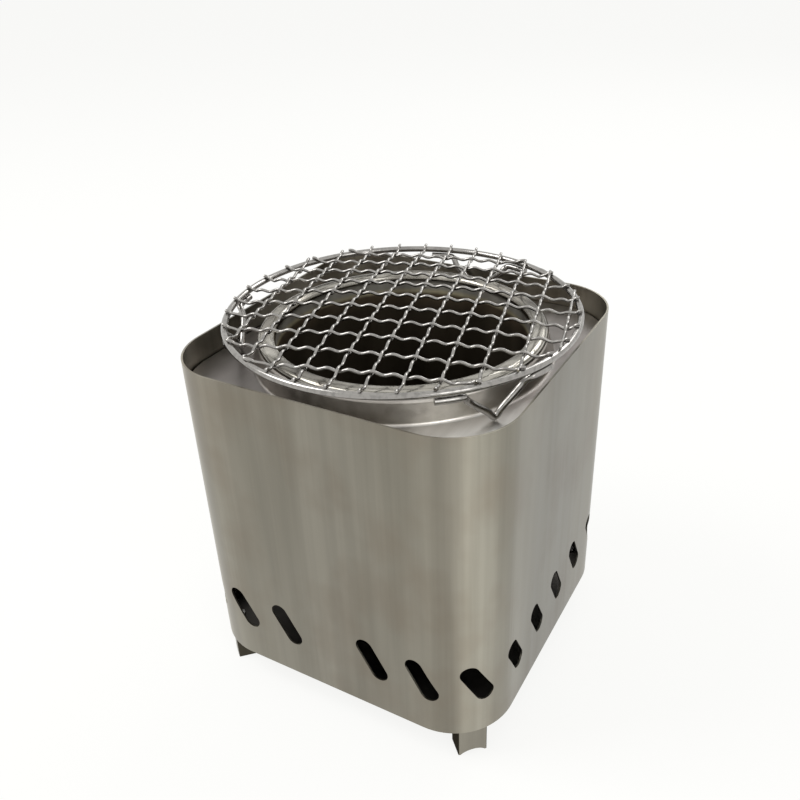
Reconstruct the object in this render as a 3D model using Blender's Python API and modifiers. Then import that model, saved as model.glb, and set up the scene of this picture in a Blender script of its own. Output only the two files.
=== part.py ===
"""Tabletop fire pit with a square steel casing, a round fire drum and a lift-off wire grill.

All sizes are in metres, +Z is up and the table is at z = 0. The origin is on the table, under the
middle of the casing. The wall with the seam faces -Y.
"""
import math

import bmesh
import bpy
from mathutils import Matrix, Vector

COLLECTION = "tabletop_fire_pit"

# Clearances
GAP = 0.0003
HOLE_CLEARANCE = 0.0003

# Square casing
CASING_SIDE = 0.150
CASING_HEIGHT = 0.1487
CASING_CORNER_RADIUS = 0.0285
CASING_SHEET = 0.0008
CORNER_STEPS = 6
SIDE_STEPS = 6

# Slanted air slots round the foot of the casing
SLOTS_EACH_WAY = 11
SLOT_PITCH = 0.0240
SLOT_SEAM_GAP = 0.0446
SLOT_LENGTH = 0.0220
SLOT_WIDTH = 0.0084
SLOT_TILT = math.radians(30.0)
SLOT_CENTRE_HEIGHT = 0.0282
SLOT_SIDES = 12

# Strip that joins the two ends of the casing sheet
SEAM_STRIP_WIDTH = 0.014
SEAM_STRIP_SHEET = 0.0008
SEAM_STRIP_MARGIN = 0.002

# Sheet feet under the four corners
FOOT_HEIGHT = 0.0155
FOOT_WIDTH = 0.0130
FOOT_DEPTH = 0.0095
FOOT_SHEET = 0.0010
FOOT_ARCH_HEIGHT = 0.0027
FOOT_ARCH_TOE = 0.0009
FOOT_ARC_STEPS = 6

# Tray that closes the casing from below
BASE_LIFT = 0.003
BASE_SHEET = 0.0008
BASE_WALL = 0.007

# Rivets between feet and base tray
RIVET_SHANK_RADIUS = 0.0012
RIVET_HEAD_RADIUS = 0.0021
RIVET_HEAD_HEIGHT = 0.0009
RIVET_SPACING = 0.0056
RIVET_INSET = 0.0052
RIVET_SIDES = 8

# Recessed top plate and its raised collar
PLATE_DEPTH = 0.0112
PLATE_SHEET = 0.0008
PLATE_SKIRT = 0.008
PLATE_EDGE_RADIUS = 0.0010
CHANNEL_WIDTH = 0.0105
COLLAR_TAPER = 0.0016
COLLAR_FILLET = 0.0016
COLLAR_SHOULDER = 0.0022
COLLAR_LEDGE = 0.0038
COLLAR_TOP_DROP = 0.0010

# Fire drum with its rolled lip
DRUM_INSET = 0.0096
DRUM_SHEET = 0.0008
DRUM_LIP_ROLL = 0.0024
DRUM_LIP_WIDTH = 0.0076
DRUM_HEM = 0.004
DRUM_FLOOR_AIR_GAP = 0.016
DRUM_STEPS = 40
LOWER_HOLES = 10
LOWER_HOLE_RADIUS = 0.0032
LOWER_HOLE_LIFT = 0.0155
HOLE_SIDES = 8

# Floor disc of the drum
FLOOR_SHEET = 0.0010
FLOOR_HOLES = 8
FLOOR_HOLE_RADIUS = 0.0030
FLOOR_HOLE_INSET = 0.0069

# Ash pan on the drum floor
PAN_CLEARANCE = 0.0079
PAN_HEIGHT = 0.0105
PAN_SHEET = 0.0008
PAN_CORNER = 0.0025
PAN_BEAD = 0.0012

# Fire grate that stands in the ash pan
GRATE_CLEARANCE = 0.0064
GRATE_SHEET = 0.0012
GRATE_LIFT = 0.0210
GRATE_HOLE_RADIUS = 0.0028
GRATE_HOLE_PITCH = 0.0125
GRATE_HOLE_RINGS = 3
GRATE_LEGS = {"grate_leg_left": 190.0, "grate_leg_front": 310.0, "grate_leg_back": 70.0}
GRATE_LEG_WIDTH = 0.009
GRATE_LEG_FLANGE = 0.0050
GRATE_LEG_INSET = 0.0045

# Round wire grill
RIM_WIRE_RADIUS = 0.0014
RIM_OVERHANG = 0.00025
RIM_LIFT = 0.0076
RIM_STEPS = 60
RIM_SIDES = 8

# Crimped, slightly domed net of the grill, fused where its wires cross
NET_WIRE_RADIUS = 0.00065
NET_CRIMP = 0.00047
NET_DOME = 0.0035
NET_TURN = math.radians(14.2)
ACROSS_PITCH = 0.0135
ACROSS_OFFSET = 0.0074
ALONG_PITCH = 0.0130
ALONG_OFFSET = 0.0051

# Three V-shaped wire legs of the grill
LEG_WIRE_RADIUS = 0.0014
LEG_AZIMUTHS = {"grill_leg_front": -32.0, "grill_leg_left": -152.0, "grill_leg_back": 88.0}
LEG_HALF_SPAN = math.radians(10.6)
LEG_END_SPAN = math.radians(9.2)
LEG_BEND = math.radians(1.2)
LEG_CLEARANCE = 0.0006
LEG_LEAN = 0.0008
LEG_TIP_BEND = math.radians(1.3)
LEG_TIP_ROUNDING = 0.0018

# Levels worked out from the sizes above
CASING_BOTTOM = FOOT_HEIGHT
CASING_TOP = CASING_BOTTOM + CASING_HEIGHT
BASE_BOTTOM = CASING_BOTTOM + BASE_LIFT
BASE_TOP = BASE_BOTTOM + BASE_SHEET
PLATE_TOP = CASING_TOP - PLATE_DEPTH
COLLAR_TOP = CASING_TOP - COLLAR_TOP_DROP
DRUM_BOTTOM = BASE_TOP + DRUM_FLOOR_AIR_GAP
FLOOR_BOTTOM = DRUM_BOTTOM + DRUM_SHEET + GAP
FLOOR_TOP = FLOOR_BOTTOM + FLOOR_SHEET
PAN_BOTTOM = FLOOR_TOP + GAP
GRATE_LEG_FOOT = PAN_BOTTOM + PAN_SHEET + GAP
GRATE_TOP = FLOOR_TOP + GRATE_LIFT
GRILL_LEVEL = CASING_TOP + RIM_LIFT

# Sizes that fit inside one another
INNER_SIDE = CASING_SIDE - 2 * (CASING_SHEET + GAP)
INNER_CORNER_RADIUS = CASING_CORNER_RADIUS - CASING_SHEET - GAP
COLLAR_BASE_RADIUS = CASING_SIDE / 2 - CHANNEL_WIDTH
DRUM_INNER_RADIUS = COLLAR_BASE_RADIUS - DRUM_INSET
FLOOR_HOLE_RING = DRUM_INNER_RADIUS - FLOOR_HOLE_INSET
PAN_RADIUS = DRUM_INNER_RADIUS - PAN_CLEARANCE
GRATE_RADIUS = DRUM_INNER_RADIUS - GRATE_CLEARANCE
GRATE_LEG_RING = PAN_RADIUS - GRATE_LEG_INSET
RIM_RADIUS = CASING_SIDE / 2 + RIM_OVERHANG
LEG_ARM_RADIUS = CASING_SIDE / 2 - CASING_SHEET - LEG_WIRE_RADIUS - LEG_CLEARANCE
LEG_TIP_RADIUS = LEG_ARM_RADIUS - LEG_LEAN
HOOK_REACH = RIM_WIRE_RADIUS + GAP + NET_WIRE_RADIUS
LEG_TOP = GRILL_LEVEL - RIM_WIRE_RADIUS - GAP - LEG_WIRE_RADIUS
LEG_TIP = PLATE_TOP + GAP + LEG_WIRE_RADIUS

FOOT_NAMES = {"foot_front": -45.0, "foot_right": 45.0, "foot_back": 135.0, "foot_left": -135.0}


def clear_scene():
    for old in list(bpy.data.objects):
        bpy.data.objects.remove(old, do_unlink=True)


def new_collection(name):
    collection = bpy.data.collections.new(name)
    bpy.context.scene.collection.children.link(collection)
    return collection


def make_material(name, colour, roughness, metallic):
    material = bpy.data.materials.new(name)
    material.use_nodes = True
    shader = material.node_tree.nodes["Principled BSDF"]
    shader.inputs["Base Color"].default_value = (*colour, 1.0)
    shader.inputs["Roughness"].default_value = roughness
    shader.inputs["Metallic"].default_value = metallic
    material.diffuse_color = (*colour, 1.0)
    return material


def mesh_object(name, bm, material=None, cutter=False):
    mesh = bpy.data.meshes.new(name)
    bm.to_mesh(mesh)
    bm.free()
    piece = bpy.data.objects.new(name, mesh)
    if cutter:
        CUTTERS.objects.link(piece)
        piece.hide_render = True
        piece.display_type = "WIRE"
    else:
        PARTS.objects.link(piece)
    if material:
        mesh.materials.append(material)
    return piece


def smooth(piece, angle=35.0):
    piece.data.shade_smooth()
    piece.data.set_sharp_from_angle(angle=math.radians(angle))


def box_mesh(low, high):
    """A box between its lowest and its highest corner."""
    bm = bmesh.new()
    bmesh.ops.create_cube(bm, size=1.0)
    size = [b - a for a, b in zip(low, high)]
    bmesh.ops.scale(bm, vec=size, verts=bm.verts)
    bmesh.ops.translate(bm, vec=[(a + b) / 2 for a, b in zip(low, high)], verts=bm.verts)
    return bm


def solidify(piece, thickness, inwards=True):
    wall = piece.modifiers.new("wall", "SOLIDIFY")
    wall.thickness = thickness
    wall.offset = -1.0 if inwards else 1.0
    wall.use_even_offset = True
    return wall


def cut(piece, cutter, operation="DIFFERENCE"):
    change = piece.modifiers.new("cut", "BOOLEAN")
    change.object = cutter
    change.operation = operation
    change.solver = "EXACT"


def face_outwards(bm, centre=Vector((0, 0, 0))):
    """Turn every face of an open wall away from the upright line through the centre."""
    for face in bm.faces:
        away = face.calc_center_median() - centre
        away.z = 0
        if face.normal.dot(away) < 0:
            face.normal_flip()


def rounded_square(side, radius):
    """Points (x, y) of a square outline with round corners, from the +X side round to the left."""
    half = side / 2 - radius
    spread = math.atan2(half, side / 2)
    corner = [Vector((half, half)) + radius * Vector((math.cos(angle), math.sin(angle)))
              for angle in (math.pi / 2 * step / CORNER_STEPS for step in range(CORNER_STEPS + 1))]
    wall = [Vector((side / 2 * math.tan(spread * (1 - 2 * step / SIDE_STEPS)), side / 2))
            for step in range(1, SIDE_STEPS)]
    points = []
    for quarter in range(4):
        turn = Matrix.Rotation(math.pi / 2 * quarter, 2)
        points += [turn @ point for point in corner + wall]
    return points


def loop_of(bm, points, z):
    verts = [bm.verts.new((x, y, z)) for x, y in points]
    edges = [bm.edges.new((verts[i], verts[(i + 1) % len(verts)])) for i in range(len(verts))]
    return verts, edges


def extrude_loop(bm, edges, place):
    """Extrude a loop of edges and put each new point where place says."""
    made = bmesh.ops.extrude_edge_only(bm, edges=edges)["geom"]
    verts = {item for item in made if isinstance(item, bmesh.types.BMVert)}
    for vert in verts:
        vert.co = place(vert.co)
    return [item for item in made if isinstance(item, bmesh.types.BMEdge) and verts.issuperset(item.verts)]


def casing_outline(distance):
    """Point, outward direction and running direction on the casing, measured from the seam."""
    half = CASING_SIDE / 2 - CASING_CORNER_RADIUS
    arc = CASING_CORNER_RADIUS * math.pi / 2
    wall = 2 * half
    distance = (distance + half) % (4 * (wall + arc))
    side = int(distance // (wall + arc))
    rest = distance - side * (wall + arc)
    turn = Matrix.Rotation(math.radians(90 * side), 3, "Z")
    if rest <= wall:
        outward = Vector((0, -1, 0))
        point = Vector((rest - half, -CASING_SIDE / 2, 0))
    else:
        angle = -math.pi / 2 + (rest - wall) / CASING_CORNER_RADIUS
        outward = Vector((math.cos(angle), math.sin(angle), 0))
        point = Vector((half, -half, 0)) + outward * CASING_CORNER_RADIUS
    outward = turn @ outward
    return turn @ point, outward, Vector((-outward.y, outward.x, 0))


def stretched_prism(bm, length, width, depth, sides, matrix):
    """A bar with half round ends, long along its Y and deep along its Z."""
    turned = Matrix.Rotation(math.pi / sides, 4, "Z")
    made = bmesh.ops.create_cone(bm, cap_ends=True, segments=sides, radius1=width / 2, radius2=width / 2,
                                 depth=depth, matrix=turned)
    for vert in made["verts"]:
        vert.co.y += math.copysign((length - width) / 2, vert.co.y)
    bmesh.ops.transform(bm, matrix=matrix, verts=made["verts"])


def slot_cutter():
    bm = bmesh.new()
    first = SLOT_SEAM_GAP / 2
    ways = [first + SLOT_PITCH * number for number in range(SLOTS_EACH_WAY)]
    for distance in ways + [-way for way in ways]:
        point, outward, along = casing_outline(distance)
        point.z = CASING_BOTTOM + SLOT_CENTRE_HEIGHT
        long_axis = Vector((0, 0, 1)) * math.cos(SLOT_TILT) - along * math.sin(SLOT_TILT)
        short_axis = long_axis.cross(outward)
        frame = Matrix((short_axis, long_axis, outward)).transposed().to_4x4()
        stretched_prism(bm, SLOT_LENGTH, SLOT_WIDTH, CASING_SHEET * 8, SLOT_SIDES,
                        Matrix.Translation(point) @ frame)
    return mesh_object("slot_cutter", bm, cutter=True)


def make_casing():
    bm = bmesh.new()
    _, edges = loop_of(bm, rounded_square(CASING_SIDE, CASING_CORNER_RADIUS), CASING_BOTTOM)
    extrude_loop(bm, edges, lambda p: Vector((p.x, p.y, CASING_TOP)))
    bm.normal_update()
    face_outwards(bm)
    casing = mesh_object("outer_casing", bm, BRUSHED)
    solidify(casing, CASING_SHEET)
    cut(casing, slot_cutter())
    smooth(casing)


def make_seam_strip():
    bottom = BASE_BOTTOM + BASE_WALL + SEAM_STRIP_MARGIN
    top = PLATE_TOP - PLATE_SKIRT - SEAM_STRIP_MARGIN
    half = SEAM_STRIP_WIDTH / 2
    wall = -INNER_SIDE / 2
    strip = box_mesh((-half, wall, bottom), (half, wall + SEAM_STRIP_SHEET, top))
    mesh_object("seam_strip", strip, INNER_STEEL)


def foot_outline(half_width, front_radius, back):
    """Outline of a foot seen from above: a curved front on the casing corner and a straight back."""
    centre = (CASING_SIDE / 2 - CASING_CORNER_RADIUS) * math.sqrt(2)
    spread = math.asin(half_width / front_radius)
    points = []
    for step in range(FOOT_ARC_STEPS + 1):
        angle = -spread + 2 * spread * step / FOOT_ARC_STEPS
        points.append((centre + front_radius * math.cos(angle), front_radius * math.sin(angle)))
    points.append((back, half_width))
    points.append((back, -half_width))
    return points


def prism(name, points, bottom, top, material=None, cutter=False):
    bm = bmesh.new()
    verts, _ = loop_of(bm, points, bottom)
    face = bm.faces.new(verts)
    made = bmesh.ops.extrude_face_region(bm, geom=[face])["geom"]
    upper = [item for item in made if isinstance(item, bmesh.types.BMVert)]
    bmesh.ops.translate(bm, vec=(0, 0, top - bottom), verts=upper)
    bmesh.ops.recalc_face_normals(bm, faces=bm.faces)
    return mesh_object(name, bm, material, cutter)


def corner_front():
    """Distance from the middle of the pit to the front of a foot, along the diagonal."""
    return (CASING_SIDE / 2 - CASING_CORNER_RADIUS) * math.sqrt(2) + INNER_CORNER_RADIUS


def rivet_places(angle):
    """Middles of the two rivets of the foot at this angle."""
    turn = Matrix.Rotation(math.radians(angle), 3, "Z")
    across = (RIVET_SPACING / 2, -RIVET_SPACING / 2)
    return [turn @ Vector((corner_front() - RIVET_INSET, y, 0)) for y in across]


def make_foot(name, angle):
    """A folded foot: front web, two side walls and a top flange under the base tray."""
    top = BASE_BOTTOM - GAP
    front = corner_front()
    half = FOOT_WIDTH / 2
    foot = prism(name, foot_outline(half, INNER_CORNER_RADIUS, front - FOOT_DEPTH), 0.0, top, BRUSHED)
    inside = foot_outline(half - FOOT_SHEET, INNER_CORNER_RADIUS - FOOT_SHEET,
                          front - FOOT_DEPTH - FOOT_SHEET)
    cut(foot, prism(name + "_hollow", inside, -FOOT_SHEET, top - FOOT_SHEET, cutter=True))

    bm = bmesh.new()
    span = half - FOOT_ARCH_TOE
    radius = (span * span + FOOT_ARCH_HEIGHT * FOOT_ARCH_HEIGHT) / (2 * FOOT_ARCH_HEIGHT)
    lying = Matrix.Translation((front, 0, FOOT_ARCH_HEIGHT - radius)) @ Matrix.Rotation(math.pi / 2, 4, "Y")
    bmesh.ops.create_cone(bm, cap_ends=True, segments=64, radius1=radius, radius2=radius,
                          depth=FOOT_SHEET * 6, matrix=lying)
    cut(foot, mesh_object(name + "_arch", bm, cutter=True))

    bm = bmesh.new()
    for place in rivet_places(0.0):
        bmesh.ops.create_cone(bm, cap_ends=True, segments=RIVET_SIDES,
                              radius1=RIVET_SHANK_RADIUS + HOLE_CLEARANCE,
                              radius2=RIVET_SHANK_RADIUS + HOLE_CLEARANCE, depth=FOOT_SHEET * 4,
                              matrix=Matrix.Translation((place.x, place.y, top)))
    cut(foot, mesh_object(name + "_rivet_holes", bm, cutter=True))

    turn = Matrix.Rotation(math.radians(angle), 4, "Z")
    foot.matrix_world = turn
    for change in foot.modifiers:
        change.object.matrix_world = turn
    smooth(foot)


def make_base_tray():
    bm = bmesh.new()
    verts, edges = loop_of(bm, rounded_square(INNER_SIDE, INNER_CORNER_RADIUS), BASE_BOTTOM)
    extrude_loop(bm, edges, lambda p: Vector((p.x, p.y, BASE_BOTTOM + BASE_WALL)))
    bm.normal_update()
    face_outwards(bm)
    floor = bm.faces.new(verts)
    floor.normal_update()
    if floor.normal.z > 0:
        floor.normal_flip()
    tray = mesh_object("base_tray", bm, INNER_STEEL)
    solidify(tray, BASE_SHEET)
    bm = bmesh.new()
    for angle in FOOT_NAMES.values():
        for place in rivet_places(angle):
            bmesh.ops.create_cone(bm, cap_ends=True, segments=RIVET_SIDES,
                                  radius1=RIVET_SHANK_RADIUS + HOLE_CLEARANCE,
                                  radius2=RIVET_SHANK_RADIUS + HOLE_CLEARANCE, depth=BASE_SHEET * 5,
                                  matrix=Matrix.Translation((place.x, place.y, BASE_BOTTOM)))
    cut(tray, mesh_object("base_tray_rivet_holes", bm, cutter=True))
    smooth(tray)


def arc(radius, height, rounding, start, end, steps=3):
    """Points of a round bend in a profile, from one angle to another in degrees."""
    angles = [math.radians(start + (end - start) * step / steps) for step in range(steps + 1)]
    return [(radius + rounding * math.cos(angle), height + rounding * math.sin(angle)) for angle in angles]


def profile_mesh(name, profile, material):
    """Points of (radius, height) joined in a line, to be turned by a Screw modifier."""
    mesh = bpy.data.meshes.new(name)
    points = [(radius, 0.0, height) for radius, height in profile]
    mesh.from_pydata(points, [(i, i + 1) for i in range(len(points) - 1)], [])
    mesh.materials.append(material)
    return mesh


def screw(piece, steps):
    turn = piece.modifiers.new("turn", "SCREW")
    turn.steps = steps
    turn.render_steps = steps
    turn.use_merge_vertices = True
    turn.merge_threshold = 0.00001
    turn.use_smooth_shade = True


def make_rivets():
    """Two rivets for each foot, with a flat head on both sides."""
    under = BASE_BOTTOM - GAP - FOOT_SHEET - GAP
    over = BASE_TOP + GAP
    chamfer = RIVET_HEAD_HEIGHT / 3
    profile = [(0.0, over + RIVET_HEAD_HEIGHT),
               (RIVET_HEAD_RADIUS - chamfer, over + RIVET_HEAD_HEIGHT),
               (RIVET_HEAD_RADIUS, over + RIVET_HEAD_HEIGHT - chamfer),
               (RIVET_HEAD_RADIUS, over),
               (RIVET_SHANK_RADIUS, over),
               (RIVET_SHANK_RADIUS, under),
               (RIVET_HEAD_RADIUS, under),
               (RIVET_HEAD_RADIUS, under - RIVET_HEAD_HEIGHT + chamfer),
               (RIVET_HEAD_RADIUS - chamfer, under - RIVET_HEAD_HEIGHT),
               (0.0, under - RIVET_HEAD_HEIGHT)]
    mesh = profile_mesh("foot_rivet", profile, RIVET_STEEL)
    for foot, angle in FOOT_NAMES.items():
        for side, place in zip(("left", "right"), rivet_places(angle)):
            rivet = bpy.data.objects.new(f"{foot}_rivet_{side}", mesh)
            PARTS.objects.link(rivet)
            rivet.location = place
            screw(rivet, RIVET_SIDES)


def make_top_plate():
    """One pressed sheet: a round collar in the middle, a flat plate and a skirt along the casing."""
    outline = rounded_square(INNER_SIDE, INNER_CORNER_RADIUS)
    fillet = COLLAR_FILLET
    shoulder = COLLAR_SHOULDER
    top = COLLAR_BASE_RADIUS - COLLAR_TAPER - shoulder
    collar = arc(COLLAR_BASE_RADIUS + fillet, PLATE_TOP + fillet, fillet, 270, 180, 2)
    collar += arc(top, COLLAR_TOP - shoulder, shoulder, 0, 90, 2)
    collar.append((top - COLLAR_LEDGE, COLLAR_TOP))
    bm = bmesh.new()
    _, edges = loop_of(bm, outline, PLATE_TOP - PLATE_SKIRT)
    edges = extrude_loop(bm, edges, lambda p: Vector((p.x, p.y, PLATE_TOP - PLATE_EDGE_RADIUS)))
    shrink = 1 - 2 * PLATE_EDGE_RADIUS / INNER_SIDE
    edges = extrude_loop(bm, edges, lambda p: Vector((p.x * shrink, p.y * shrink, PLATE_TOP)))
    for radius, height in collar:
        def on_circle(p, radius=radius, height=height):
            scale = radius / math.hypot(p.x, p.y)
            return Vector((p.x * scale, p.y * scale, height))
        edges = extrude_loop(bm, edges, on_circle)
    bmesh.ops.recalc_face_normals(bm, faces=bm.faces)
    bm.normal_update()
    flat = max(bm.faces, key=lambda face: abs(face.normal.z) * face.calc_area())
    if flat.normal.z < 0:
        bmesh.ops.reverse_faces(bm, faces=bm.faces)
    plate = mesh_object("top_plate", bm, BRUSHED)
    solidify(plate, PLATE_SHEET)
    smooth(plate)


def turned_shell(name, profile, thickness, material, inwards=True):
    """A sheet piece: an open profile with a Screw modifier and a wall."""
    piece = bpy.data.objects.new(name, profile_mesh(name, profile, material))
    PARTS.objects.link(piece)
    screw(piece, DRUM_STEPS)
    solidify(piece, thickness, inwards)
    return piece


def ring_of_holes(name, count, ring, radius, height, depth, lying=True, start=0.0):
    """Cutters for a ring of round holes, either through an upright wall or through a level sheet."""
    bm = bmesh.new()
    for number in range(count):
        angle = start + math.tau * number / count
        matrix = Matrix.Rotation(angle, 4, "Z") @ Matrix.Translation((ring, 0, height))
        if lying:
            matrix = matrix @ Matrix.Rotation(math.pi / 2, 4, "Y")
        bmesh.ops.create_cone(bm, cap_ends=True, segments=HOLE_SIDES, radius1=radius, radius2=radius,
                              depth=depth, matrix=matrix)
    return mesh_object(name, bm, cutter=True)


def make_drum():
    """The fire drum: a rolled lip that rests on the collar, a straight wall and an inward hem."""
    inner = DRUM_INNER_RADIUS
    roll = DRUM_LIP_ROLL
    crest = COLLAR_TOP + GAP + roll
    profile = arc(inner + DRUM_LIP_WIDTH - roll, crest - roll, roll, 0, 90)
    profile += arc(inner + roll, crest - roll, roll, 90, 180)
    profile.append((inner, DRUM_BOTTOM + DRUM_SHEET))
    profile.append((inner - DRUM_HEM, DRUM_BOTTOM + DRUM_SHEET))
    drum = turned_shell("fire_drum", profile, DRUM_SHEET, DRUM_STEEL, inwards=False)
    middle = inner + DRUM_SHEET / 2
    half_step = math.pi / DRUM_STEPS
    cut(drum, ring_of_holes("lower_air_holes", LOWER_HOLES, middle, LOWER_HOLE_RADIUS,
                            FLOOR_TOP + LOWER_HOLE_LIFT, DRUM_SHEET * 8, start=half_step))


def make_drum_floor():
    bm = bmesh.new()
    radius = DRUM_INNER_RADIUS * math.cos(math.pi / DRUM_STEPS) - GAP
    bmesh.ops.create_cone(bm, cap_ends=True, segments=DRUM_STEPS, radius1=radius, radius2=radius,
                          depth=FLOOR_SHEET)
    bmesh.ops.translate(bm, vec=(0, 0, FLOOR_BOTTOM + FLOOR_SHEET / 2), verts=bm.verts)
    floor = mesh_object("drum_floor", bm, DRUM_STEEL)
    cut(floor, ring_of_holes("floor_air_holes", FLOOR_HOLES, FLOOR_HOLE_RING, FLOOR_HOLE_RADIUS,
                             FLOOR_BOTTOM, FLOOR_SHEET * 6, lying=False))
    smooth(floor)


def make_ash_pan():
    """A shallow dish with a round lower corner and a small bead round its rim."""
    top = PAN_BOTTOM + PAN_HEIGHT
    profile = [(PAN_RADIUS + PAN_BEAD, top), (PAN_RADIUS, top - PAN_BEAD * 0.3)]
    profile += arc(PAN_RADIUS - PAN_CORNER, PAN_BOTTOM + PAN_CORNER, PAN_CORNER, 0, -90, 2)
    profile.append((0.0, PAN_BOTTOM))
    turned_shell("ash_pan", profile, PAN_SHEET, INNER_STEEL)


def make_grate():
    """A perforated disc that stands on three bent legs."""
    bm = bmesh.new()
    bmesh.ops.create_cone(bm, cap_ends=True, segments=DRUM_STEPS, radius1=GRATE_RADIUS, radius2=GRATE_RADIUS,
                          depth=GRATE_SHEET, matrix=Matrix.Translation((0, 0, GRATE_TOP - GRATE_SHEET / 2)))
    grate = mesh_object("fire_grate", bm, GRATE_STEEL)
    holes = bmesh.new()
    for x, y in grate_hole_places():
        bmesh.ops.create_cone(holes, cap_ends=True, segments=HOLE_SIDES, radius1=GRATE_HOLE_RADIUS,
                              radius2=GRATE_HOLE_RADIUS, depth=GRATE_SHEET * 6,
                              matrix=Matrix.Translation((x, y, GRATE_TOP)))
    cut(grate, mesh_object("grate_holes", holes, cutter=True))


def make_grate_leg(name, angle):
    """A strip bent outwards at the top, where it is welded under the grate."""
    top = GRATE_TOP - GRATE_SHEET - GAP
    half = GRATE_LEG_WIDTH / 2
    inner = GRATE_LEG_RING
    upright = box_mesh((inner, -half, GRATE_LEG_FOOT), (inner + GRATE_SHEET, half, top))
    leg = mesh_object(name, upright, GRATE_STEEL)
    flange_low = (inner + GRATE_SHEET / 2, -half, top - GRATE_SHEET)
    level = box_mesh(flange_low, (inner + GRATE_LEG_FLANGE, half, top))
    flange = mesh_object(name + "_flange", level, cutter=True)
    cut(leg, flange, "UNION")
    leg.matrix_world = Matrix.Rotation(math.radians(angle), 4, "Z")
    flange.matrix_world = leg.matrix_world


def grate_hole_places():
    """A middle hole and rings of holes round it, six more in each ring."""
    places = [(0.0, 0.0)]
    for ring in range(1, GRATE_HOLE_RINGS + 1):
        radius = ring * GRATE_HOLE_PITCH
        for number in range(6 * ring):
            angle = math.tau * number / (6 * ring)
            places.append((radius * math.cos(angle), radius * math.sin(angle)))
    return places


def make_rim():
    bpy.ops.mesh.primitive_torus_add(major_segments=RIM_STEPS, minor_segments=RIM_SIDES,
                                     major_radius=RIM_RADIUS, minor_radius=RIM_WIRE_RADIUS,
                                     location=(0, 0, GRILL_LEVEL))
    rim = bpy.context.object
    rim.name = "grill_rim"
    rim.data.name = "grill_rim"
    for owner in list(rim.users_collection):
        owner.objects.unlink(rim)
    PARTS.objects.link(rim)
    rim.data.materials.append(WIRE_STEEL)
    rim.data.shade_smooth()


def wire_curve(name, routes, radius, resolution):
    curve = bpy.data.curves.new(name, "CURVE")
    curve.dimensions = "3D"
    curve.bevel_depth = radius
    curve.bevel_resolution = resolution
    curve.use_fill_caps = True
    for route in routes:
        spline = curve.splines.new("POLY")
        spline.points.add(len(route) - 1)
        for point, place in zip(spline.points, route):
            point.co = (*place, 1.0)
        spline.use_smooth = True
    curve.materials.append(WIRE_STEEL)
    return bpy.data.objects.new(name, curve)


def wires_as_mesh(name, routes):
    """Closed tubes made from a curve, so that a Boolean can join them."""
    guide = wire_curve(name, routes, NET_WIRE_RADIUS, 1)
    CUTTERS.objects.link(guide)
    bpy.context.view_layer.update()
    mesh = bpy.data.meshes.new_from_object(guide.evaluated_get(bpy.context.evaluated_depsgraph_get()))
    bpy.data.objects.remove(guide, do_unlink=True)
    bm = bmesh.new()
    bm.from_mesh(mesh)
    bmesh.ops.remove_doubles(bm, verts=bm.verts, dist=1e-6)
    bpy.data.meshes.remove(mesh)
    return bm


def net_offsets(pitch, offset):
    """Distances of the parallel wires from the middle of the net, each with its number."""
    reach = RIM_RADIUS - 5 * NET_WIRE_RADIUS
    first = math.ceil((-reach - offset) / pitch)
    last = math.floor((reach - offset) / pitch)
    return [(number, offset + number * pitch) for number in range(first, last + 1)]


def net_route(number, distance, pitch, offset, sign):
    """One wire along its own X: domed, crimped over and under the others, its ends laid on the rim."""
    def at_radius(radius):
        return math.sqrt(radius ** 2 - distance ** 2)

    inside = at_radius(RIM_RADIUS - HOOK_REACH)
    crimps = []
    for crossing, x in net_offsets(pitch, offset):
        if abs(x) < inside - 3 * NET_WIRE_RADIUS:
            dome = NET_DOME * (1 - (x * x + distance * distance) / RIM_RADIUS ** 2)
            crimps.append((x, dome + sign * NET_CRIMP * math.cos(math.pi * (crossing + number))))
    hook = [(inside, 0.0),
            (at_radius(RIM_RADIUS - HOOK_REACH * 0.42), HOOK_REACH),
            (at_radius(RIM_RADIUS + NET_WIRE_RADIUS / 2), HOOK_REACH)]
    route = [(-x, z) for x, z in reversed(hook)] + crimps + hook
    return [(x, distance, GRILL_LEVEL + z) for x, z in route]


def make_net():
    """Two layers of wires, joined into one body where they cross."""
    turn = Matrix.Rotation(NET_TURN, 3, "Z")
    across = []
    for number, distance in net_offsets(ACROSS_PITCH, ACROSS_OFFSET):
        route = net_route(number, distance, ALONG_PITCH, ALONG_OFFSET, -1)
        across.append([turn @ Vector(point) for point in route])
    along = []
    for number, distance in net_offsets(ALONG_PITCH, ALONG_OFFSET):
        route = net_route(number, distance, ACROSS_PITCH, ACROSS_OFFSET, 1)
        along.append([turn @ Vector((y, x, z)) for x, y, z in route])
    net = mesh_object("wire_net", wires_as_mesh("net_across", across), WIRE_STEEL)
    cut(net, mesh_object("net_along", wires_as_mesh("net_along", along), cutter=True), "UNION")


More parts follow.
